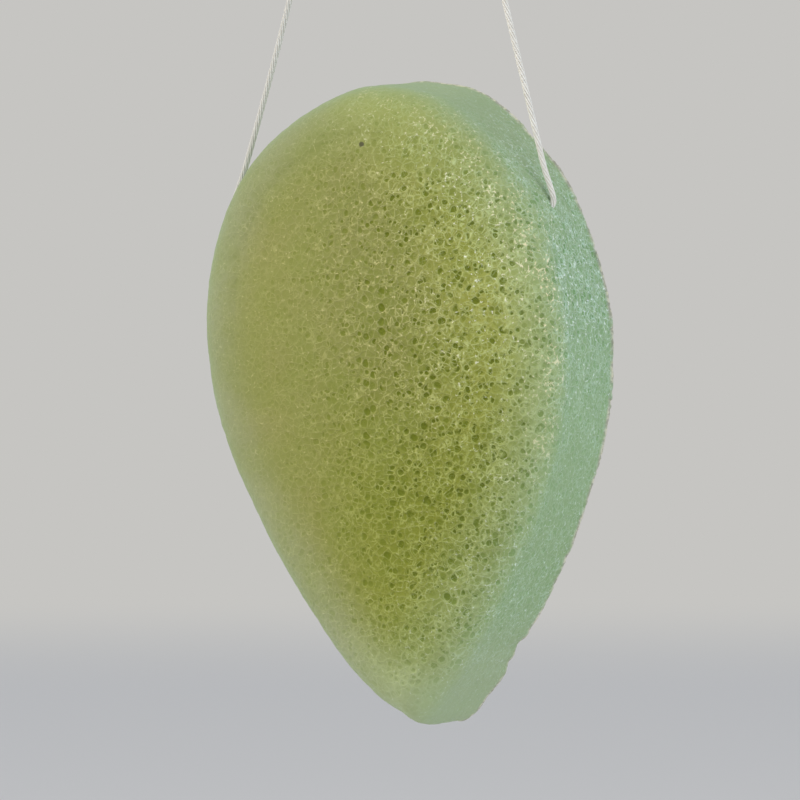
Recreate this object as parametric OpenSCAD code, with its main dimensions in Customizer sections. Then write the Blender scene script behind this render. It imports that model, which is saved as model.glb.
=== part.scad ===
// Drop-shaped konjac sponge hung on a looped cotton string.
// The origin is the crook under the knot, where a hook holds the loop. +Z is up,
// and the flat back of the sponge faces +Y. All lengths are in millimetres.

/* [Sponge] */
// Height of the sponge, from its round head down to its tip
sponge_h = 85; // [70:1:100]
// Width of the sponge at its widest line
sponge_w = 53.4; // [46:0.2:64]
// Height of the round head above the widest line
head_h = 34; // [28:1:40]
// Share of the width that the flanks have lost at the tip
tip_taper_share = 0.53; // [0.3:0.01:0.65]
// Power of that loss: low for straight flanks, high for full ones
taper_power = 2; // [1.5:0.1:3]
// Depth of the side wall, from the flat back to the front rounding
wall_depth = 12; // [10.5:0.5:16]
// Lean of the side wall, with which the sponge leaves its mould, in degrees
wall_draft = 4.5; // [0:0.5:8]
// Radius of the rounding between the side wall and the front
front_round = 6.5; // [3:0.5:9]
// Rise of the domed front above its rounding
dome_rise = 3.5; // [1:0.5:6]

/* [String] */
// Diameter of the twisted cotton string
string_d = 0.9; // [0.6:0.1:1.2]
// Room between the string and its channel through the sponge
channel_gap = 0.05; // [0.02:0.01:0.1]
// Depth of the channel in front of the flat back
channel_depth = 9.5; // [8:0.1:10]
// Height of the channel above the widest line
channel_rise = 14; // [10:0.2:18]
// Radius of the dimple at each mouth of the channel
mouth_r = 1.5; // [1.2:0.1:2]
// Depth of that dimple
mouth_depth = 1.6; // [1:0.1:2.5]

/* [Knot] */
// Width of the knot that ties both ends of the string
knot_w = 3.6; // [3:0.1:5]
// Height of the knot
knot_h = 3.2; // [2.6:0.1:4.5]
// Height that the cut ends of the string stand above the knot
tail_h = 6; // [3:0.5:9]
// How far the tip of each cut end has spread from the middle
tail_spread = 2.2; // [1:0.1:3.5]

/* [Hidden] */

sponge_colour = "#909a5c";
string_colour = "#e8e4d8";

// How far a cut runs past the surface that it opens
overrun = 0.8;

// Routes of the two free stretches of the string, as X and Z in the plane of the
// loop, from the channel up to the knot. The first two points lie on the line of
// the channel, and the last two stand upright under the knot.
right_route = [
    [19.1, -83.4], [20.1, -83.3], [20.9, -83.0], [21.5, -82.5], [21.8, -81.8], [21.7, -80.9],
    [21.2, -79.4], [20.4, -77], [18.6, -70], [16.8, -63], [15.0, -56], [13.2, -49], [11.4, -42],
    [9.6, -35], [7.8, -28], [6.0, -21], [4.2, -14], [2.4, -7], [1.2, -2.4], [0.6, -1], [0.6, 0]
];
left_route = [
    [-22.9, -87.6], [-23.9, -87.7], [-24.7, -87.6], [-25.4, -87.2], [-25.8, -86.5], [-25.8, -85.6],
    [-25.1, -83.4], [-24.1, -80.8], [-22.7, -77], [-20.5, -70], [-18.4, -63], [-16.4, -56],
    [-14.4, -49], [-12.4, -42], [-10.5, -35], [-8.5, -28], [-6.5, -21], [-4.6, -14], [-2.6, -7],
    [-1.3, -2.4], [-0.6, -1], [-0.6, 0]
];
route_steps = 2;
cord_sides = 8;
string_r = string_d / 2;

// Line of the channel, which the sponge hangs on
channel_right = right_route[0];
channel_left = left_route[0];
channel_span = channel_right - channel_left;
channel_mid = (channel_right + channel_left) / 2;
hang_tilt = atan2(channel_span[1], channel_span[0]);

// Resolution of the sponge: points round its outline, rings over its front rounding
// and rings over its dome
outline_steps = 72;
round_steps = 6;
dome_shares = [0.86, 0.68, 0.48, 0.26];
exact_fn = 48;

tip_h = sponge_h - head_h;
half_w = sponge_w / 2;
channel_r = string_r + channel_gap;

// How far the wall has leaned in at a depth in front of the back
function lean(depth) = depth * tan(wall_draft);

// Half the width of the back's outline at an angle round it, 90 degrees at the head
function outline_x(a) =
    half_w * cos(a) * (1 - tip_taper_share * pow(max(-sin(a), 0), taper_power));
function outline_z(a) = (sin(a) > 0 ? head_h : tip_h) * sin(a);

// One ring of the surface: the back's outline, moved in by an inset and then
// shrunk to a share of its size, at a depth in front of the back
function ring(inset, depth, share = 1) = [
    for (i = [0 : outline_steps - 1])
        let (a = 360 * i / outline_steps, h = sin(a) > 0 ? head_h : tip_h)
        [
            outline_x(a) * (1 - inset / half_w) * share,
            -depth,
            outline_z(a) * (1 - inset / h) * share
        ]
];

round_inset = lean(wall_depth) + front_round;
round_depth = wall_depth + front_round;
front_depth = round_depth + dome_rise;

sponge_rings = concat(
    [ring(0, 0)],
    [
        for (k = [0 : round_steps])
            let (a = 90 * k / round_steps)
            ring(lean(wall_depth) + front_round * (1 - cos(a)), wall_depth + front_round * sin(a))
    ],
    [for (s = dome_shares) ring(round_inset, round_depth + dome_rise * (1 - s * s), s)]
);
ring_count = len(sponge_rings);
sponge_points = concat(
    [for (r = sponge_rings) each r],
    [[0, 0, 0], [0, -front_depth, 0]]
);
back_middle = ring_count * outline_steps;
front_middle = back_middle + 1;

function at_ring(k, i) = k * outline_steps + i % outline_steps;

sponge_faces = concat(
    [for (i = [0 : outline_steps - 1]) [back_middle, at_ring(0, i), at_ring(0, i + 1)]],
    [
        for (k = [0 : ring_count - 2], i = [0 : outline_steps - 1])
            each [
                [at_ring(k, i), at_ring(k + 1, i), at_ring(k, i + 1)],
                [at_ring(k, i + 1), at_ring(k + 1, i), at_ring(k + 1, i + 1)]
            ]
    ],
    [
        for (i = [0 : outline_steps - 1])
            [front_middle, at_ring(ring_count - 1, i + 1), at_ring(ring_count - 1, i)]
    ]
);

// Half the width of the sponge where the channel comes out
mouth_inset = lean(channel_depth);
mouth_rise_share = channel_rise / (head_h - mouth_inset);
mouth_x = (half_w - mouth_inset) * sqrt(1 - mouth_rise_share * mouth_rise_share);

// A tube of the string's diameter along a route of points in space, with rings
// between the points on a smooth curve, and flat ends square to the route
function between(p0, p1, p2, p3, t) =
    (2 * p1 + (p2 - p0) * t + (2 * p0 - 5 * p1 + 4 * p2 - p3) * t * t
        + (3 * p1 - p0 - 3 * p2 + p3) * t * t * t) / 2;
function smooth(route, steps) = let (last = len(route) - 1) concat(
    [
        for (i = [0 : last - 1], k = [0 : steps - 1])
            between(route[max(i - 1, 0)], route[i], route[i + 1], route[min(i + 2, last)], k / steps)
    ],
    [route[last]]
);
function heading(route, i) =
    let (d = route[min(i + 1, len(route) - 1)] - route[max(i - 1, 0)]) d / norm(d);

module tube(route) {
    count = len(route);
    side = [0, 1, 0];
    points = [
        for (i = [0 : count - 1], k = [0 : cord_sides - 1])
            let (a = 360 * (k + 0.5) / cord_sides, up = cross(heading(route, i), side))
            route[i] + string_r * (cos(a) * side + sin(a) * up)
    ];
    walls = [
        for (i = [0 : count - 2], k = [0 : cord_sides - 1])
            let (
                a = i * cord_sides + k,
                b = i * cord_sides + (k + 1) % cord_sides,
                c = a + cord_sides,
                d = b + cord_sides
            )
            each [[a, c, b], [b, c, d]]
    ];
    ends = concat(
        [for (k = [1 : cord_sides - 2]) [0, k, k + 1]],
        [
            for (k = [1 : cord_sides - 2])
                let (a = (count - 1) * cord_sides)
                [a, a + k + 1, a + k]
        ]
    );
    polyhedron(points, concat(walls, ends));
}

// Puts what is drawn round the channel's middle where the string carries it
module hung_on_string() {
    translate([channel_mid[0], 0, channel_mid[1]]) rotate([0, -hang_tilt, 0]) children();
}

module sponge() {
    color(sponge_colour)
    hung_on_string()
    difference() {
        translate([0, channel_depth, -channel_rise])
            polyhedron(sponge_points, sponge_faces);
        rotate([0, 90, 0])
            cylinder(h = sponge_w + 2 * overrun, r = channel_r, center = true, $fn = exact_fn);
        for (turn = [-90, 90])
            rotate([0, turn, 0])
            translate([0, 0, mouth_x - mouth_depth])
            mouth();
    }
}

// The dimple that the string draws into the foam where it turns up
module mouth() {
    cylinder(
        h = mouth_depth + overrun,
        r1 = channel_r,
        r2 = channel_r + (mouth_r - channel_r) * (mouth_depth + overrun) / mouth_depth,
        $fn = exact_fn
    );
}

// The stretch of string inside the channel, on which the sponge swings
module string_inside() {
    color(string_colour)
    hung_on_string()
    rotate([0, 90, 0])
        cylinder(h = norm(channel_span), r = string_r, center = true, $fn = exact_fn);
}

function in_space(route) = [for (p = route) [p[0], 0, p[1]]];

module string_left() {
    color(string_colour) tube(smooth(in_space(left_route), route_steps));
}

module string_right() {
    color(string_colour) tube(smooth(in_space(right_route), route_steps));
}

// Both ends of the string tied in one overhand knot: two turns lie round a core that the
// free stretches run up into, and the cut ends stand out on top, spreading as they rise
knot_tilt = 14;
knot_core_r = knot_w / 2 - string_r;
turn_height = knot_w / 2 * sin(knot_tilt) + string_r;
tail_rise_shares = [0, 0.4, 0.75, 1];
tail_spread_shares = [0.3, 0.5, 0.8, 1];

module knot_turn(height, tilt) {
    translate([0, 0, height])
    rotate([0, tilt, 0])
    rotate_extrude($fn = exact_fn)
    translate([knot_core_r, 0])
    circle(r = string_r, $fn = exact_fn);
}

function tail_route(way) = concat(
    [[way * tail_spread * tail_spread_shares[0], 0, knot_h / 2]],
    [
        for (k = [0 : len(tail_rise_shares) - 1])
            [way * tail_spread * tail_spread_shares[k], 0, knot_h + tail_h * tail_rise_shares[k]]
    ]
);

module knot() {
    color(string_colour)
    union() {
        cylinder(h = knot_h, r = knot_core_r, $fn = exact_fn);
        knot_turn(turn_height, knot_tilt);
        knot_turn(knot_h - turn_height, -knot_tilt);
        for (way = [-1, 1])
            tube(smooth(tail_route(way), route_steps));
    }
}

sponge();
string_inside();
string_left();
string_right();
knot();
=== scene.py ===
import math

import bpy
import numpy as np
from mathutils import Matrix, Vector


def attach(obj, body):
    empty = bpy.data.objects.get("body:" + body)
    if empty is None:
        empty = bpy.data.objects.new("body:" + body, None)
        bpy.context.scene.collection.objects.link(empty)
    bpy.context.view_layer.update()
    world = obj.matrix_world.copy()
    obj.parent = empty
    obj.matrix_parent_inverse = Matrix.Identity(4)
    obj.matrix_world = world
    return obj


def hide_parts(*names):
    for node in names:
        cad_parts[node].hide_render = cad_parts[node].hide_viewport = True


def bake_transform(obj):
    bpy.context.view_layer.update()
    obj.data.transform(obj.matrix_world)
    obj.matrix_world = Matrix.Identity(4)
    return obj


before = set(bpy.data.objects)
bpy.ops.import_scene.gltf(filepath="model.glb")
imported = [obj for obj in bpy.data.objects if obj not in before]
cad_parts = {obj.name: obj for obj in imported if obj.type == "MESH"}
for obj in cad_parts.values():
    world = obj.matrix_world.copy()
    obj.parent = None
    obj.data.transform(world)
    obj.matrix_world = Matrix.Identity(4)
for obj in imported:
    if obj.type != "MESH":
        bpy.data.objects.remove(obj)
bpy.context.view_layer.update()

# The photograph's view: nearly level, from the right of the domed front, through
# a long lens, with the knot above the upper edge of the picture.
view_turn = math.radians(24.87)
view_rise = math.radians(1.38)
view_distance = 0.600
view_target = Vector((0, 0, -0.1076))
film_width = 36
focal_length = 206
view_from = Vector(
    (
        math.sin(view_turn) * math.cos(view_rise),
        -math.cos(view_turn) * math.cos(view_rise),
        math.sin(view_rise),
    )
)

camera = bpy.data.objects.new("camera", bpy.data.cameras.new("camera"))
bpy.context.scene.collection.objects.link(camera)
camera.data.sensor_width = film_width
camera.data.lens = focal_length
camera.location = view_target + view_from * view_distance
camera.rotation_mode = "QUATERNION"
camera.rotation_quaternion = (-view_from).to_track_quat("-Z", "Y")
camera.data.clip_start = 0.01
camera.data.clip_end = 100
bpy.context.scene.camera = camera
bpy.context.scene.view_settings.view_transform = "Standard"


# The string: one length of twisted cotton, six fine plies laid round a core. Its middle
# lies in the channel through the foam, and its two free stretches run from the foam's side
# wall to the knot, pulled straight by the sponge's weight.
ply_count = 6
ply_pitch = 0.0062
ply_radius = 0.000141
ply_offset = 0.000249
ply_sides = 10
ring_gap = 0.0002
sharp_angle = math.radians(50)

# Where the middle of each free stretch runs, from the channel up to the knot, as X and Z
# in millimetres
right_route = np.array(
    [
        (19.1, -83.4), (20.1, -83.3), (20.9, -83.0), (21.5, -82.5), (21.8, -81.8),
        (21.7, -80.9), (21.2, -79.4), (20.4, -77), (18.6, -70), (16.8, -63), (15.0, -56),
        (13.2, -49), (11.4, -42), (9.6, -35), (7.8, -28), (6.0, -21), (4.2, -14),
        (2.4, -7), (1.2, -2.4), (0.6, -1), (0.6, 0),
    ]
) / 1000
left_route = np.array(
    [
        (-22.9, -87.6), (-23.9, -87.7), (-24.7, -87.6), (-25.4, -87.2), (-25.8, -86.5),
        (-25.8, -85.6), (-25.1, -83.4), (-24.1, -80.8), (-22.7, -77), (-20.5, -70),
        (-18.4, -63), (-16.4, -56), (-14.4, -49), (-12.4, -42), (-10.5, -35), (-8.5, -28),
        (-6.5, -21), (-4.6, -14), (-2.6, -7), (-1.3, -2.4), (-0.6, -1), (-0.6, 0),
    ]
) / 1000


def in_space(route):
    """The points of a route that lies in the plane of the loop."""
    return np.stack([route[:, 0], 0 * route[:, 0], route[:, 1]], axis=1)


def smooth_line(points, gap):
    """Points an even gap apart on a smooth curve through the given ones."""
    steps = 40
    ends = np.concatenate([points[:1], points, points[-1:]])
    a, b, c, d = ends[:-3, None], ends[1:-2, None], ends[2:-1, None], ends[3:, None]
    t = (np.arange(steps) / steps)[None, :, None]
    curve = (
        2 * b + (c - a) * t + (2 * a - 5 * b + 4 * c - d) * t**2
        + (3 * b - a - 3 * c + d) * t**3
    ) / 2
    curve = np.concatenate([curve.reshape(-1, 3), points[-1:]])
    along = np.concatenate([[0], np.cumsum(np.linalg.norm(np.diff(curve, axis=0), axis=1))])
    even = np.linspace(0, along[-1], max(2, round(along[-1] / gap) + 1))
    return np.stack([np.interp(even, along, curve[:, k]) for k in range(3)], axis=1)


def line_length(line):
    return float(np.linalg.norm(np.diff(line, axis=0), axis=1).sum())


def turning_frame(line, first):
    """The direction of a line at each point, and two directions across it that do not turn."""
    along = np.gradient(line, axis=0)
    along /= np.linalg.norm(along, axis=1)[:, None]
    across = np.empty_like(along)
    side = np.array(first, float)
    for k, heading in enumerate(along):
        side = side - heading * side.dot(heading)
        side /= np.linalg.norm(side)
        across[k] = side
    return along, across, np.cross(along, across)


def lay_plies(name, runs):
    """A mesh of plies laid round a core along one or more runs, closed at both ends. A run
    is its line, the angle of its first ply, and how far apart the plies lie at each point,
    as a share of how far they do in the string."""
    turn = 2 * np.pi * np.arange(ply_sides) / ply_sides
    points, faces, places, base = [], [], [], 0
    for line, phase, spread in runs:
        _, across, up = turning_frame(line, (0, 1, 0))
        steps = np.linalg.norm(np.diff(line, axis=0), axis=1)
        length = np.concatenate([[0], np.cumsum(steps)])
        for ply in range(ply_count + 1):
            angle = phase + 2 * np.pi * (ply / ply_count - length / ply_pitch)
            outward = np.cos(angle)[:, None] * across + np.sin(angle)[:, None] * up
            out = ply_offset if ply < ply_count else 0
            middle = line + out * np.reshape(spread, (-1, 1)) * outward
            along = np.gradient(middle, axis=0)
            along /= np.linalg.norm(along, axis=1)[:, None]
            side = outward - along * (outward * along).sum(axis=1)[:, None]
            side /= np.linalg.norm(side, axis=1)[:, None]
            rise = np.cross(along, side)
            rings = middle[:, None] + ply_radius * (
                np.cos(turn)[None, :, None] * side[:, None]
                + np.sin(turn)[None, :, None] * rise[:, None]
            )
            points.append(rings.reshape(-1, 3))
            for k in range(len(line) - 1):
                for j in range(ply_sides):
                    here, there = base + k * ply_sides, base + (k + 1) * ply_sides
                    after = (j + 1) % ply_sides
                    faces.append((here + j, here + after, there + after, there + j))
                    low, high = length[k] * 1000, length[k + 1] * 1000
                    places += [
                        (low, j / ply_sides), (low, (j + 1) / ply_sides),
                        (high, (j + 1) / ply_sides), (high, j / ply_sides),
                    ]
            last = base + (len(line) - 1) * ply_sides
            faces.append(tuple(base + j for j in reversed(range(ply_sides))))
            faces.append(tuple(last + j for j in range(ply_sides)))
            places += [(0, 0)] * ply_sides + [(0, 0)] * ply_sides
            base += len(line) * ply_sides
    mesh = bpy.data.meshes.new(name)
    mesh.from_pydata(np.concatenate(points).tolist(), [], faces)
    fibre = mesh.uv_layers.new(name="fibre")
    fibre.data.foreach_set("uv", np.array(places, float).ravel())
    mesh.shade_smooth()
    mesh.set_sharp_from_angle(angle=sharp_angle)
    piece = bpy.data.objects.new(name, mesh)
    bpy.context.scene.collection.objects.link(piece)
    return piece


class Socket:
    """A value in a node tree, so that sums of such values are written as sums."""

    def __init__(self, graph, socket):
        self.graph, self.socket = graph, socket

    def sum(self, operation, first, second):
        return self.graph.add("ShaderNodeMath", {"operation": operation}, {0: first, 1: second})

    def __add__(self, other):
        return self.sum("ADD", self, other)

    def __radd__(self, other):
        return self.sum("ADD", other, self)

    def __sub__(self, other):
        return self.sum("SUBTRACT", self, other)

    def __rsub__(self, other):
        return self.sum("SUBTRACT", other, self)

    def __mul__(self, other):
        return self.sum("MULTIPLY", self, other)

    def __rmul__(self, other):
        return self.sum("MULTIPLY", other, self)

    def size(self):
        return self.graph.add("ShaderNodeMath", {"operation": "ABSOLUTE"}, {0: self})


class Graph:
    """Adds nodes to one tree, of a material, of the world or of geometry."""

    def __init__(self, tree):
        self.tree = tree

    def feed(self, socket, value):
        if isinstance(value, Socket):
            self.tree.links.new(value.socket, socket)
        else:
            socket.default_value = value

    def add(self, kind, settings=None, inputs=None, output=0):
        node = self.tree.nodes.new(kind)
        for name, value in (settings or {}).items():
            setattr(node, name, value)
        for key, value in (inputs or {}).items():
            self.feed(node.inputs[key], value)
        return Socket(self, node.outputs[output])

    def rise(self, value, low, high, to_low=0.0, to_high=1.0):
        """A smooth step from one value to another while the first one passes from low to high."""
        return self.add(
            "ShaderNodeMapRange",
            {"interpolation_type": "SMOOTHSTEP"},
            {0: value, 1: low, 2: high, 3: to_low, 4: to_high},
        )

    def blend(self, share, first, second):
        """A mix of two colours."""
        return self.add(
            "ShaderNodeMix", {"data_type": "RGBA"}, {0: share, 6: first, 7: second}, 2
        )

    def noise(self, place, scale, detail=2.0, output=0):
        return self.add(
            "ShaderNodeTexNoise", None,
            {"Vector": place, "Scale": scale, "Detail": detail}, output,
        )


def linear(red, green, blue):
    """A colour as it shows on a screen, from 0 to 255, in the values that shaders use."""
    shown = np.array([red, green, blue]) / 255
    light = np.where(shown <= 0.04045, shown / 12.92, ((shown + 0.055) / 1.055) ** 2.4)
    return (*light.tolist(), 1.0)


def new_material(name):
    """A material with its graph and its one surface shader."""
    material = bpy.data.materials.new(name)
    material.use_nodes = True
    return material, Graph(material.node_tree), material.node_tree.nodes["Principled BSDF"]


# Cotton is brightest where a ply faces out, with painted shade browning the valleys between
# plies. The left stretch is greyer with painted shade
cotton, graph, surface = new_material("cotton")
fibre = graph.add("ShaderNodeUVMap", {"uv_map": "fibre"})
round_ply = graph.add("ShaderNodeSeparateXYZ", None, {0: fibre}, 1)
facing_out = (round_ply - 0.5).size() * 2.0
stretched = graph.add(
    "ShaderNodeMapping", None,
    {"Vector": fibre, "Rotation": (0, 0, 0.12), "Scale": (0.9, 4.0, 1.0)},
)
strands = graph.noise(stretched, 2.2, 3.0)
patches = graph.noise(fibre, 0.6, 2.0)
tone = graph.blend(
    graph.rise(strands * 0.7 + patches * 0.3, 0.3, 0.7),
    linear(206, 202, 194), linear(241, 239, 236),
)
# Painted shade: the valleys between plies are browner
tone = graph.blend(graph.rise(facing_out, 0.74, 0.38) * 0.85, tone, linear(160, 140, 112))
# Painted shade greys the string left of the knot's middle, the left stretch
place = graph.add("ShaderNodeTexCoord", None, None, 3)
across = graph.add("ShaderNodeSeparateXYZ", None, {0: place})
tone = graph.blend(graph.rise(across, -0.002, -0.012) * 0.3, tone, linear(170, 171, 168))
graph.feed(surface.inputs["Base Color"], tone)
graph.feed(
    surface.inputs["Normal"],
    graph.add("ShaderNodeBump", None, {"Strength": 0.6, "Distance": 0.00006, "Height": strands}),
)
surface.inputs["Roughness"].default_value = 0.85
surface.inputs["Specular IOR Level"].default_value = 0.25
surface.inputs["Sheen Weight"].default_value = 0.3
surface.inputs["Sheen Roughness"].default_value = 0.5
surface.inputs["Subsurface Weight"].default_value = 0.15
surface.inputs["Subsurface Radius"].default_value = (1, 0.9, 0.8)
surface.inputs["Subsurface Scale"].default_value = 0.0003

right_line = smooth_line(in_space(right_route), ring_gap)
left_line = smooth_line(in_space(left_route), ring_gap)
inside_line = smooth_line(np.array([left_line[0], right_line[0]]), ring_gap)

right_phase = -2 * np.pi * line_length(inside_line) / ply_pitch
string_right = lay_plies("string_right_plies", [(right_line, right_phase, 1)])
string_left = lay_plies("string_left_plies", [(left_line, 0, 1)])
string_inside = lay_plies("string_inside_plies", [(inside_line, 0, 1)])


# The knot: both ends of the string, side by side, tied in one overhand knot and pulled
# tight above the hook's crook. Two cut ends stand out of it and fray.
pair_width = 1.5
knot_points = 70
pull_rounds = 2600
easing = 0.1
slack = 1.02
shortening = 0.997
knot_foot = 2.0
pin_low = -3.2
pin_high = 7.6


def tightened():
    """The middle line of the pair, in millimetres: a loose overhand knot on an upright
    line, shortened step by step while no two turns come closer than the pair is wide."""
    t = np.linspace(-2.28, 2.28, 600)
    loose = np.stack(
        [1.6 * (t**3 - 3 * t), 1.6 * (t**4 - 4 * t**2 + 1.5), 0.5 * (t**5 - 10 * t) + 2], axis=1
    )
    pins = np.array([(0, 0, z) for z in (pin_low, pin_low + 0.4, pin_high - 0.4, pin_high)])
    start = np.concatenate([pins[:2], loose, pins[2:]])
    along = np.concatenate([[0], np.cumsum(np.linalg.norm(np.diff(start, axis=0), axis=1))])
    even = np.linspace(0, along[-1], knot_points)
    line = np.stack([np.interp(even, along, start[:, k]) for k in range(3)], axis=1)
    gap = even[1]
    number = np.arange(knot_points)
    for _ in range(pull_rounds):
        for first in (0, 1, 0, 1):
            stop = first + 2 * ((knot_points - first) // 2)
            step = line[first + 1 : stop : 2] - line[first:stop:2]
            length = np.linalg.norm(step, axis=1, keepdims=True)
            change = 0.5 * step * (1 - gap / length)
            line[first:stop:2] += change
            line[first + 1 : stop : 2] -= change
        line[1:-1] += easing * (0.5 * (line[:-2] + line[2:]) - line[1:-1])
        apart = line[:, None] - line[None, :]
        length = np.linalg.norm(apart, axis=2) + 1e-9
        neighbours = max(2, int(1.5 * pair_width / gap))
        hit = (abs(number[:, None] - number[None, :]) > neighbours) & (length < pair_width)
        push = np.where(hit, (pair_width - length) / length, 0)[..., None] * apart
        line = line + 0.5 * push.sum(axis=1) / np.maximum(1, hit.sum(axis=1, keepdims=True)) ** 0.6
        line[:2], line[-2:] = pins[:2], pins[2:]
        if np.linalg.norm(np.diff(line, axis=0), axis=1).mean() < slack * gap:
            gap *= shortening
    return line + np.array([0, 0, knot_foot])


# Each strand lies at one side of the pair's middle: from where its free stretch ends, close
# together in the turns, and spreading towards its cut end, where its plies stand apart
foot_length = 0.0012
foot_apart = 0.0006
turns_apart = 0.00043
fray_length = 0.0016
fray_spread = 2.3

middle = smooth_line(tightened() / 1000, ring_gap)
middle = np.concatenate([np.zeros((1, 3)), middle[middle[:, 2] > ring_gap / 2]])
from_start = np.concatenate([[0], np.cumsum(np.linalg.norm(np.diff(middle, axis=0), axis=1))])
middle[:, :2] *= np.interp(from_start, [ring_gap, foot_length], [0, 1])[:, None]
_, beside, _ = turning_frame(middle, (1, 0, 0))
from_end = from_start[-1] - from_start
runs = []
for line, phase, side, shorter in (
    (right_line, right_phase, 1, 0.0), (left_line, 0, -1, 0.0009),
):
    out = np.interp(from_start, [0, foot_length], [foot_apart, turns_apart])
    out = out + np.interp(from_end, [0, 0.002, 0.0042], [0.0019, 0.0009, 0])
    strand = smooth_line((middle + side * out[:, None] * beside)[from_end >= shorter], ring_gap)
    strand[0] = line[-1]
    to_tip = np.linalg.norm(strand - strand[-1], axis=1)
    fray = np.interp(to_tip, [0, fray_length], [fray_spread, 1])
    runs.append((strand, phase - 2 * np.pi * line_length(line) / ply_pitch, fray))
knot = lay_plies("knot_plies", runs)

for piece, node in (
    (string_right, "string_right"), (string_left, "string_left"),
    (string_inside, "string_inside"), (knot, "knot"),
):
    piece.data.materials.append(cotton)
    if piece in (string_inside, knot):
        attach(piece, "string")
    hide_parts(node)

# The foam grips the first millimetres of each free stretch. Each stretch's placing is baked into
# its mesh
for piece, line, grip, free in (
    (string_right, right_line, (0.0212, 0, -0.0828), (0.0220, 0, -0.0814)),
    (string_left, left_line, (-0.0250, 0, -0.0874), (-0.0260, 0, -0.0860)),
):
    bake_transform(piece)
    line_length(line)


# The sponge: one block of moist konjac foam, cast in a drop-shaped mould with an open
# back. The mould side is domed and rounded, the open side is flat with a sharp edge,
# where a thin ragged skin has set. Air bubbles left round pores all through it.
# Its measures are in millimetres
mm = 0.001
drop_height = 85.0
drop_width = 53.4
head_height = 34.0
tip_height = drop_height - head_height
half_width = drop_width / 2
taper_share = 0.53
wall_depth = 12.0
wall_lean = math.tan(math.radians(4.5))
front_round = 6.5
dome_rise = 3.5
channel_depth = 9.5
channel_rise = 14.0
channel_radius = 0.54
mouth_angle = 24.9
mouth_reach = 5.0
channel_middle = np.array([-1.9, 0.0, -85.5])
hang_tilt = math.atan(0.1)
form_steps = 1440
round_steps = 16
dome_steps = 19
wall_step = 0.75
bore_gap = 0.0005
bore_sides = 24
voxel = 0.2

# Where the soft block is fuller or leaner than its mould: degrees round the outline from
# the right by way of the head, how wide that is, and how far out, in millimetres. The
# nicks are near the back edge, and the middle swells are at the depth of the channel
swells = (
    (65, 7, 0.35), (108, 17, -0.75), (203, 15, -0.5), (238, 11, 0.5), (262, 9, -0.5),
    (270, 8, 0.45), (289, 7, -0.35),
)
nicks = (
    (20, 15, -0.6), (45, 7, -0.5), (276, 6, -0.2), (299.5, 1.6, -0.7), (304, 2.2, -0.9),
    (309, 1.2, -0.25),
)
nick_depth = 6
middle_swells = ((mouth_angle, 8, 0.6), (180 - mouth_angle, 8, 0.6), (271, 8, 0.4))
middle_depth = 3.5
skin_width = 0.36
skin_thickness = 0.4
most_torn = ((15, 45, 0.65),)
dice = np.random.default_rng(7)


def bumps(angle, places):
    """The sum of smooth bumps round the outline, outwards."""
    total = np.zeros_like(angle)
    for middle, width, height in places:
        off = (np.degrees(angle) - middle + 180) % 360 - 180
        total += height * np.exp(-((off / width) ** 2))
    return total


def outline_share(angle):
    """Half the width of the outline at an angle, as a share of the widest line's."""
    return 1 - taper_share * np.maximum(-np.sin(angle), 0) ** 2


def drop_ring(inset, depth, share=1.0, ragged=0.0):
    """One ring of the foam's surface, moved in by an inset, shrunk to a share, at a depth."""
    angle = 2 * np.pi * np.arange(form_steps) / form_steps
    reach = np.where(np.sin(angle) > 0, head_height, tip_height)
    near_back = max(0.0, 1 - depth / nick_depth)
    near_middle = math.exp(-(((depth - channel_depth) / middle_depth) ** 2))
    inset = inset - bumps(angle, swells) - near_back * bumps(angle, nicks) - ragged
    inset = inset - near_middle * bumps(angle, middle_swells)
    return np.stack(
        [
            half_width * np.cos(angle) * outline_share(angle) * (1 - inset / half_width) * share,
            0 * angle - depth,
            reach * np.sin(angle) * (1 - inset / reach) * share,
        ],
        axis=1,
    )


def hung(points):
    """Points of the sponge's own frame, in millimetres, where the string carries it."""
    moved = points + np.array([0, channel_depth, -channel_rise])
    c, s = math.cos(hang_tilt), math.sin(hang_tilt)
    turned = np.stack(
        [c * moved[:, 0] - s * moved[:, 2], moved[:, 1], s * moved[:, 0] + c * moved[:, 2]],
        axis=1,
    )
    return turned + channel_middle


def unhung(points):
    """The same points in the sponge's own frame again."""
    moved = points - channel_middle
    c, s = math.cos(hang_tilt), math.sin(hang_tilt)
    turned = np.stack(
        [c * moved[:, 0] + s * moved[:, 2], moved[:, 1], c * moved[:, 2] - s * moved[:, 0]],
        axis=1,
    )
    return turned - np.array([0, channel_depth, -channel_rise])


def closed_form(name, rings, first, last):
    """A closed mesh through rings of points, with a point in the middle of either end."""
    steps = len(rings[0])
    points = np.concatenate([*rings, [first, last]])
    faces = []
    for j in range(steps):
        k = (j + 1) % steps
        faces.append((len(points) - 2, j, k))
        for r in range(len(rings) - 1):
            low, high = r * steps, (r + 1) * steps
            faces.append((low + j, high + j, high + k, low + k))
        end = (len(rings) - 1) * steps
        faces.append((len(points) - 1, end + k, end + j))
    mesh = bpy.data.meshes.new(name)
    mesh.from_pydata(points.tolist(), [], faces)
    form = bpy.data.objects.new(name, mesh)
    bpy.context.scene.collection.objects.link(form)
    return form


# The thin skin at the back edge is torn into small teeth, longest at the upper right
every_step = np.arange(form_steps)
fine_teeth, long_teeth = (
    np.interp(every_step, every_step[::gap], dice.random(form_steps // gap)) for gap in (3, 24)
)
round_angle = 2 * np.pi * every_step / form_steps
teeth = 0.3 + 0.4 * fine_teeth + 0.5 * long_teeth
skin = skin_width * teeth * (0.35 + bumps(round_angle, most_torn))

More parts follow.
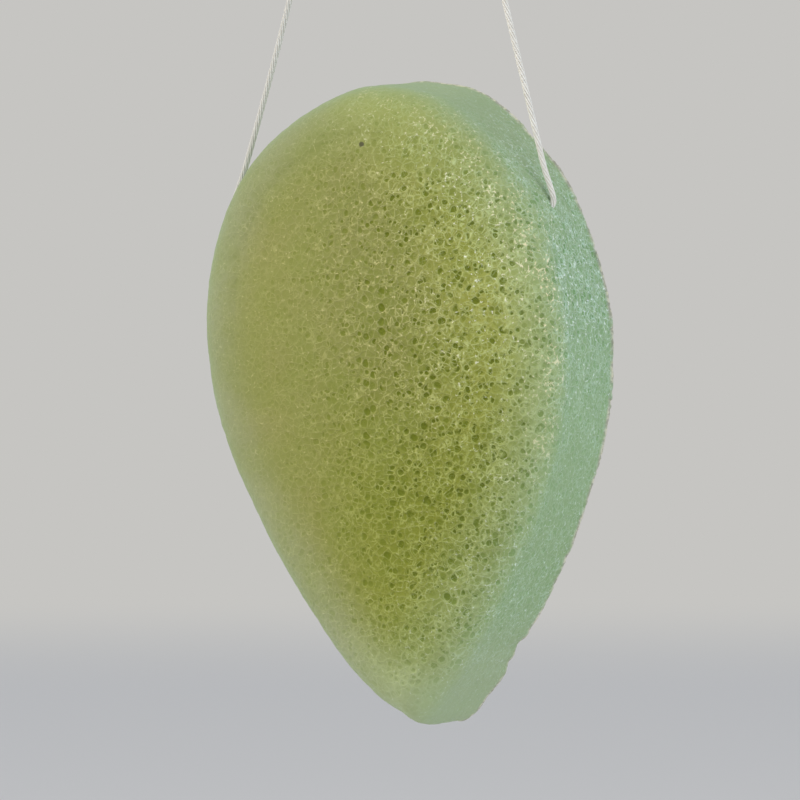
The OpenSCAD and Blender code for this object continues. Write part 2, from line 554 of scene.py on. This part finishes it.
round_inset = wall_lean * wall_depth + front_round
round_depth = wall_depth + front_round
rings = [
    drop_ring(0.5, 0), drop_ring(0, 0, 1, skin), drop_ring(0, skin_thickness, 1, skin),
    drop_ring(0.1, skin_thickness + 0.1),
]
for depth in np.arange(1.25, wall_depth - 0.5, wall_step):
    rings.append(drop_ring(wall_lean * depth, depth))
for step in range(round_steps + 1):
    turn = math.pi / 2 * step / round_steps
    rings.append(
        drop_ring(
            wall_lean * wall_depth + front_round * (1 - math.cos(turn)),
            wall_depth + front_round * math.sin(turn),
        )
    )
for share in np.linspace(0.95, 0.05, dome_steps):
    rings.append(drop_ring(round_inset, round_depth + dome_rise * (1 - share**2), share))
rings = [hung(ring) for ring in rings]
ends = hung(np.array([[0, 0, 0], [0, -(round_depth + dome_rise), 0]]))
form = closed_form("foam_form", rings, ends[0], ends[1])

# The channel that the string lies in. Where the string leaves it, the loaded string has
# drawn a snug groove up through the foam
reach_count = round(mouth_reach * mm / ring_gap)
bore_route = np.concatenate(
    [left_line[reach_count:0:-3], inside_line[::6], right_line[1:reach_count:3]]
)
bore_line = 1000 * smooth_line(bore_route, bore_gap)
_, across, up = turning_frame(bore_line, (0, 1, 0))
round_turn = 2 * np.pi * np.arange(bore_sides) / bore_sides
bore = [
    point + channel_radius * (
        np.cos(round_turn)[:, None] * side + np.sin(round_turn)[:, None] * rise
    )
    for point, side, rise in zip(bore_line, across, up)
]
cutter = closed_form("channel_form", bore, bore_line[0], bore_line[-1])

cut = form.modifiers.new("channel", "BOOLEAN")
cut.operation = "DIFFERENCE"
cut.solver = "EXACT"
cut.object = cutter
remesh = form.modifiers.new("even", "REMESH")
remesh.mode = "VOXEL"
remesh.voxel_size = voxel


def finished_mesh(piece):
    """The mesh that a piece's modifiers give."""
    bpy.context.view_layer.update()
    shown = piece.evaluated_get(bpy.context.evaluated_depsgraph_get())
    return bpy.data.meshes.new_from_object(shown)


even = finished_mesh(form)
bpy.data.objects.remove(form)
bpy.data.objects.remove(cutter)

# What the colours follow, kept at each point before the pores move it: its place, how far it
# lies over thick foam, how near the right flank, where cool light is painted, and the left
# flank, where light is painted, how far in the low middle, where shade is painted, how bare
# of skin it is, and how far on the torn edge
count = len(even.vertices)
cast = np.empty(3 * count, np.float32)
even.vertices.foreach_get("co", cast)
facing = np.empty(3 * count, np.float32)
even.vertex_normals.foreach_get("vector", facing)
facing = facing.reshape(-1, 3)
own = unhung(cast.reshape(-1, 3).astype(float))
reach = np.where(own[:, 2] > 0, head_height, tip_height)
angle = np.arctan2(own[:, 2] / reach, own[:, 0] / half_width)
# The outline's width at an angle changes the angle, so a few rounds find both
for _ in range(6):
    angle = np.arctan2(own[:, 2] / reach, own[:, 0] / half_width / outline_share(angle))
outward = np.hypot(own[:, 2] / reach, own[:, 0] / half_width / outline_share(angle))


def ramp(value, low, high):
    """A smooth step from 0 to 1 while a value passes from low to high."""
    t = np.clip((value - low) / (high - low), 0, 1)
    return t * t * (3 - 2 * t)


own_x, own_y, own_z = own.T
toward_front_right = (0.42, -0.91, 0.0)
rise_share = np.clip(own_z / reach, -1, 1)
edge_x = half_width * np.sqrt(1 - rise_share**2) * outline_share(np.arcsin(rise_share))
thick = ramp(np.abs(facing[:, 1]), 0.0, 0.9) * (1 - 0.35 * ramp(outward, 0.62, 1.0))
thick *= 1 - ramp(outward, 0.86, 0.94) * ramp(-own_y, 9, 5)
# Share near the right flank, where painted cool light makes the foam greener and lighter
right_light = ramp(edge_x - own_x, 23, 7)
# Share near the left flank, where light is painted in: paler, more so low down
left_light = ramp(edge_x + own_x, 14, -1)
# Share in the low middle of the front, where shade is painted: darker olive, fewer glints
low_middle_shade = thick * ramp(own_z, 4, -24) * ramp(own_x, -13, 1)
bared = 0.12 + 0.88 * np.exp(-(((own_x - 12) / 17) ** 2)) * ramp(own_z, 36, 12) * ramp(
    own_z, -52, -34
)
bared *= 1 - 0.65 * (1 - thick)
bared += 0.68 * (1 - thick) * ramp(own_x, 5, 18) * np.exp(-(((own_z - 5) / 15) ** 2))
left_and_back = ramp(facing @ toward_front_right, -0.05, -0.35)
bared = np.maximum(bared, 0.6 * left_and_back)
torn = ramp(-own_y, skin_thickness + 0.35, skin_thickness) * ramp(outward, 0.975, 0.995)
even.attributes.new("cast", "FLOAT_VECTOR", "POINT").data.foreach_set("vector", cast)
for name, values in (
    ("thick", thick), ("right_light", right_light), ("left_light", left_light), ("low_middle_shade", low_middle_shade), ("bared", bared),
    ("torn", torn),
):
    kept = even.attributes.new(name, "FLOAT", "POINT")
    kept.data.foreach_set("value", values.astype(np.float32))


def warped(graph, place, scale, amount):
    """A place pushed about by noise, so that what is drawn there is less regular."""
    push = graph.noise(place, scale, 1.0, 1)
    for operation, inputs in (
        ("SUBTRACT", {1: (0.5, 0.5, 0.5)}), ("SCALE", {"Scale": amount}),
        ("ADD", {1: place}),
    ):
        push = graph.add("ShaderNodeVectorMath", {"operation": operation}, {0: push, **inputs})
    return push


def bubbles(graph, place, size):
    """Bubbles of a size: their thin walls, the round hollows in them, the pale rings round
    the hollows, and how deep each one goes."""
    scale = {"Vector": place, "Scale": 1 / size}
    edge = size * graph.add("ShaderNodeTexVoronoi", {"feature": "DISTANCE_TO_EDGE"}, scale)
    away = graph.add("ShaderNodeTexVoronoi", None, scale)
    lots = graph.add(
        "ShaderNodeSeparateXYZ", None, {0: Socket(graph, away.socket.node.outputs["Color"])}
    )
    deep_lot, size_lot = (Socket(graph, lots.socket.node.outputs[k]) for k in (0, 1))
    off = size * away - size * (0.35 + 0.22 * size_lot)
    deep = graph.rise(deep_lot, 0.15, 0.95)
    wall = graph.rise(edge, 0.10, 0.01)
    cell = graph.rise(edge, 0.02, 0.2 * size)
    hollow = graph.rise(off, 0.06, -0.17 * size)
    ring = graph.rise(off.size(), 0.09, 0.0) * deep
    return wall, cell, hollow, ring, deep


wide_bubble = 1.1
fine_bubble = 0.76
finest_bubble = 0.56


def foam_bubbles(graph, cast):
    """The bubbles that the surface cuts open, wide ones in some places, fine in others."""
    place = warped(graph, warped(graph, cast, 0.8, 0.5), 2.6, 0.16)
    share = graph.rise(graph.noise(cast, 0.5, 1.0), 0.48, 0.54)
    wide_ones = bubbles(graph, place, wide_bubble)
    fine_ones = bubbles(graph, place, fine_bubble)
    return [wide * share + fine * (1.0 - share) for wide, fine in zip(wide_ones, fine_ones)]


pores = bpy.data.node_groups.new("foam_pores", "GeometryNodeTree")
for name, kind in (
    ("Geometry", "NodeSocketGeometry"), ("Bubble depth", "NodeSocketFloat"),
    ("Swell", "NodeSocketFloat"),
):
    pores.interface.new_socket(name, in_out="INPUT", socket_type=kind)
pores.interface.new_socket("Geometry", in_out="OUTPUT", socket_type="NodeSocketGeometry")

foam, foam_graph, foam_surface = new_material("konjac_foam")

g = Graph(pores)
given = pores.nodes.new("NodeGroupInput")
geometry = Socket(g, given.outputs["Geometry"])
place = g.add("GeometryNodeInputPosition")
normal = g.add("GeometryNodeInputNormal")
_, cell, hollow, _, deep = foam_bubbles(g, place)
bared = g.add(
    "GeometryNodeInputNamedAttribute", {"data_type": "FLOAT"}, {"Name": "bared"}
)
swell = g.noise(place, 0.13, 2.0) - 0.5
ripple = g.noise(place, 0.7, 3.0) - 0.5
sunk = (hollow * (deep * 1.2 + 0.1) + cell * 0.25) * bared
push = (swell + ripple * 0.4) * Socket(g, given.outputs["Swell"]) - sunk * Socket(
    g, given.outputs["Bubble depth"]
)
offset = g.add("ShaderNodeVectorMath", {"operation": "SCALE"}, {0: normal, "Scale": push})
geometry = g.add("GeometryNodeSetPosition", None, {"Geometry": geometry, "Offset": offset})
geometry = g.add("GeometryNodeRealizeInstances", None, {"Geometry": geometry})
geometry = g.add("GeometryNodeSetMaterial", None, {"Geometry": geometry, "Material": foam})
result = pores.nodes.new("NodeGroupOutput")
g.feed(result.inputs["Geometry"], geometry)

block = bpy.data.objects.new("foam_block", even)
bpy.context.scene.collection.objects.link(block)
porous = block.modifiers.new("pores", "NODES")
porous.node_group = pores
sizes = {"Bubble depth": 0.2, "Swell": 0.5}
for item in pores.interface.items_tree:
    if item.name in sizes:
        porous[item.identifier] = sizes[item.name]
sponge_mesh = finished_mesh(block)
bpy.data.objects.remove(block)
sponge_mesh.name = "sponge_foam"
points = np.empty(3 * len(sponge_mesh.vertices), np.float32)
sponge_mesh.vertices.foreach_get("co", points)
sponge_mesh.vertices.foreach_set("co", points * mm)
sponge_mesh.update()
sponge_mesh.shade_smooth()
sponge = bpy.data.objects.new("sponge_foam", sponge_mesh)
bpy.context.scene.collection.objects.link(sponge)

g = foam_graph
cast = g.add("ShaderNodeAttribute", {"attribute_name": "cast"}, None, 1)
thick, right_light, left_light, low_middle_shade, bared, torn = (
    g.add("ShaderNodeAttribute", {"attribute_name": name}, None, 2)
    for name in ("thick", "right_light", "left_light", "low_middle_shade", "bared", "torn")
)
wall, cell, hollow, ring, deep = foam_bubbles(g, cast)
height = g.add("ShaderNodeSeparateXYZ", None, {0: cast}, 2)
finer = g.add(
    "ShaderNodeTexVoronoi", {"feature": "DISTANCE_TO_EDGE"},
    {"Vector": warped(g, cast, 2.0, 0.3), "Scale": 1 / finest_bubble},
)
thread = g.rise(finer * finest_bubble, 0.06, 0.0)
patchy = g.rise(g.noise(cast, 0.4, 2.0), 0.40, 0.62)
broken = g.rise(g.noise(cast, 1.3, 1.0), 0.42, 0.56)
cloud = g.noise(cast, 0.16, 3.0)
grain = g.noise(cast, 3.4, 3.0)
# The glints below are painted highlights, gathered in clusters along the rounding at the right
band = thick * (1.0 - thick) * 4.0 * right_light * (1.0 - g.rise(height, -112.0, -125.0))
clusters = g.rise(g.noise(cast, 0.3, 1.0), 0.45, 0.6)
glint = g.rise(
    g.noise(cast, 2.3, 1.0) + band * clusters * 0.12 + (1.0 - thick) * bared * 0.07, 0.65, 0.71
)

# Over thick foam the tone is olive, greener and lighter towards the right with painted cool
# light, pale at the left flank with painted light, more so low down, darker at the top with
# painted shade, and darkest low in the middle with painted shade. The side wall is a cooler
# green, partly its own tone and partly painted cool light, and darker low down with painted shade
low = g.rise(height, -100.0, -128.0)
front_tone = g.blend(right_light, linear(139, 140, 73), linear(162, 164, 74))
front_tone = g.blend(low_middle_shade * 0.85, front_tone, linear(129, 135, 33))
front_tone = g.blend(left_light, front_tone, g.blend(low, linear(147, 147, 113), linear(156, 156, 120)))
# Painted shade: darker towards the top
front_tone = g.blend(g.rise(height, -94.0, -74.0) * 0.3, front_tone, linear(118, 124, 66))
front_tone = g.blend(g.rise(height, -136.0, -147.0) * 0.6, front_tone, linear(162, 172, 132))
# The side wall's cooler green is partly its own tone, partly painted cool light; lower down it is
# darker with painted shade
side_tone = g.blend(low, linear(146, 174, 134), linear(142, 168, 124))
side_tone = g.blend(g.rise(height, -90.0, -72.0), side_tone, linear(146, 165, 125))
side_tone = g.blend(g.rise(height, -132.0, -144.0), side_tone, linear(152, 170, 132))
floor_tone = g.blend(thick, side_tone, front_tone)
# Painted highlight on the rounding at the right, where the cool lamp strikes it
painted_rounding_highlight = thick * (1.0 - thick) * right_light * (1.0 - low * 0.5) * g.rise(height, -72.0, -86.0)
floor_tone = g.blend(painted_rounding_highlight * 1.9, floor_tone, linear(174, 192, 144))
floor_tone = g.blend(g.rise(cloud, 0.35, 0.65) * 0.3 * thick, floor_tone, linear(126, 138, 50))
# The hollows' darker olive is partly the foam's own colour, partly painted shade in the deep pores
deep_tone = g.blend(thick, linear(108, 150, 90), linear(110, 120, 8))
# The pale cell walls are greener at the right with painted cool light, and darker in the low
# middle with painted shade
wall_tone = g.blend(right_light, linear(186, 182, 116), linear(192, 202, 132))
wall_tone = g.blend(low_middle_shade * 0.8, wall_tone, linear(174, 180, 92))
wall_tone = g.blend(thick, linear(196, 222, 204), wall_tone)
hollows = hollow * (deep * 0.85 + low_middle_shade * 0.25 + 0.15) * bared * (thick * 0.4 + 0.6)
tone = g.blend(cell * 0.3 * bared + hollows, floor_tone, deep_tone)
tone = g.blend(thread * (patchy * 0.4 + 0.1) * (right_light * 0.7 + 0.3) * bared, tone, wall_tone)
tone = g.blend(
    (wall * (broken * 0.65 + 0.2) + ring * 0.8) * (patchy * 0.4 + 0.6) * bared, tone, wall_tone
)
# Painted highlights: glints on the cell walls, bluish white on the side wall, yellow on the front,
# yellow-orange along the rounding, fewer in the low middle
bright_tone = g.blend(thick * (1.0 - right_light * 0.7), linear(234, 246, 242), linear(246, 232, 172))
bright_tone = g.blend(band * 0.7, bright_tone, linear(244, 226, 164))
glints = (wall + thread * 0.7) * glint * (bared * 0.8 + 0.1) * (1.0 - low_middle_shade * 0.75)
tone = g.blend(glints * (right_light * 0.5 + 0.5), tone, bright_tone)
skin_tone = g.blend(
    g.rise(g.noise(cast, 1.6, 3.0), 0.42, 0.58), linear(160, 158, 144), linear(206, 202, 184)
)
tone = g.blend(torn * g.rise(g.noise(cast, 0.5, 2.0), 0.38, 0.55, 0.3, 0.95), tone, skin_tone)
# One dark grain of the root's skin was cast into the upper front
grain_place = tuple(hung(np.array([[1.85, -18.85, 25.0]]))[0])
from_grain = g.add(
    "ShaderNodeVectorMath", {"operation": "DISTANCE"},
    {0: warped(g, cast, 2.0, 0.5), 1: grain_place}, 1,
)
tone = g.blend(g.rise(from_grain, 0.46, 0.22) * 0.9, tone, linear(70, 68, 42))
g.feed(foam_surface.inputs["Base Color"], tone)
g.feed(
    foam_surface.inputs["Normal"],
    g.add(
        "ShaderNodeBump", None,
        {
            "Strength": 0.8, "Distance": 0.00012,
            "Height": (wall * 0.8 + thread * 0.5 + grain * 0.5) * (bared * 0.9 + 0.1),
        },
    ),
)
g.feed(foam_surface.inputs["Roughness"], 0.62 - wall * bared * 0.25)
foam_surface.inputs["Specular IOR Level"].default_value = 0.36
foam_surface.inputs["Subsurface Weight"].default_value = 0.15
foam_surface.inputs["Subsurface Radius"].default_value = (1, 1, 0.5)
foam_surface.inputs["Subsurface Scale"].default_value = 0.0004

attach(sponge, "sponge")
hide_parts("sponge")


# The floor is pale and plain, well below the hanging sponge, and fades into a wall of
# the same kind. Two large soft lamps stand left of the front and at the right, and the
# sky fills the rest.
floor_level = -0.30
floor_reach = 8.0
floor_sides = 96
fade_from = 1.75
fade_to = 2.5
wall_colour = linear(198, 197, 194)
floor_colour = (0.735, 0.735, 0.75, 1.0)

floor_mesh = bpy.data.meshes.new("floor")
floor_rim = [
    (floor_reach * math.cos(a), floor_reach * math.sin(a), floor_level)
    for a in np.linspace(0, 2 * math.pi, floor_sides, endpoint=False)
]
floor_mesh.from_pydata(floor_rim, [], [tuple(range(floor_sides))])
floor = bpy.data.objects.new("floor", floor_mesh)
bpy.context.scene.collection.objects.link(floor)
floor_look, g, surface = new_material("pale_floor")
surface.inputs["Base Color"].default_value = floor_colour
surface.inputs["Roughness"].default_value = 0.9
spot = g.add("ShaderNodeTexCoord", None, None, 3)
away = g.add("ShaderNodeVectorMath", {"operation": "LENGTH"}, {0: spot}, 1)
far = g.rise(away, fade_from, fade_to)
seen = g.add("ShaderNodeLightPath", None, None, 0)
shown_wall = g.add("ShaderNodeEmission", None, {"Color": wall_colour, "Strength": 1.0})
mixed = g.add(
    "ShaderNodeMixShader", None,
    {0: far * seen, 1: Socket(g, surface.outputs[0]), 2: shown_wall},
)
g.feed(floor_look.node_tree.nodes["Material Output"].inputs["Surface"], mixed)
floor_mesh.materials.append(floor_look)

world = bpy.data.worlds.new("room")
world.use_nodes = True
bpy.context.scene.world = world
g = Graph(world.node_tree)
world.node_tree.nodes.clear()
seen = g.add("ShaderNodeLightPath", None, None, 0)
sky = g.add("ShaderNodeBackground", None, {"Color": (0.96, 0.98, 1.0, 1.0), "Strength": 0.62})
shown_wall = g.add("ShaderNodeBackground", None, {"Color": wall_colour, "Strength": 1.0})
both = g.add("ShaderNodeMixShader", None, {0: seen, 1: sky, 2: shown_wall})
world_output = world.node_tree.nodes.new("ShaderNodeOutputWorld")
g.feed(world_output.inputs["Surface"], both)


def soft_lamp(name, place, size, power, colour):
    """A square lamp that looks at the middle of the sponge."""
    data = bpy.data.lights.new(name, "AREA")
    data.size = size
    data.energy = power
    data.color = colour
    lamp = bpy.data.objects.new(name, data)
    bpy.context.scene.collection.objects.link(lamp)
    lamp.location = place
    lamp.rotation_mode = "QUATERNION"
    lamp.rotation_quaternion = (view_target - Vector(place)).to_track_quat("-Z", "Y")


soft_lamp("warm_lamp", (-0.62, -0.52, 0.40), 0.7, 5.4, (1.0, 0.93, 0.80))
soft_lamp("cool_lamp", (0.74, -0.27, 0.32), 1.2, 4.75, (0.88, 0.96, 1.0))
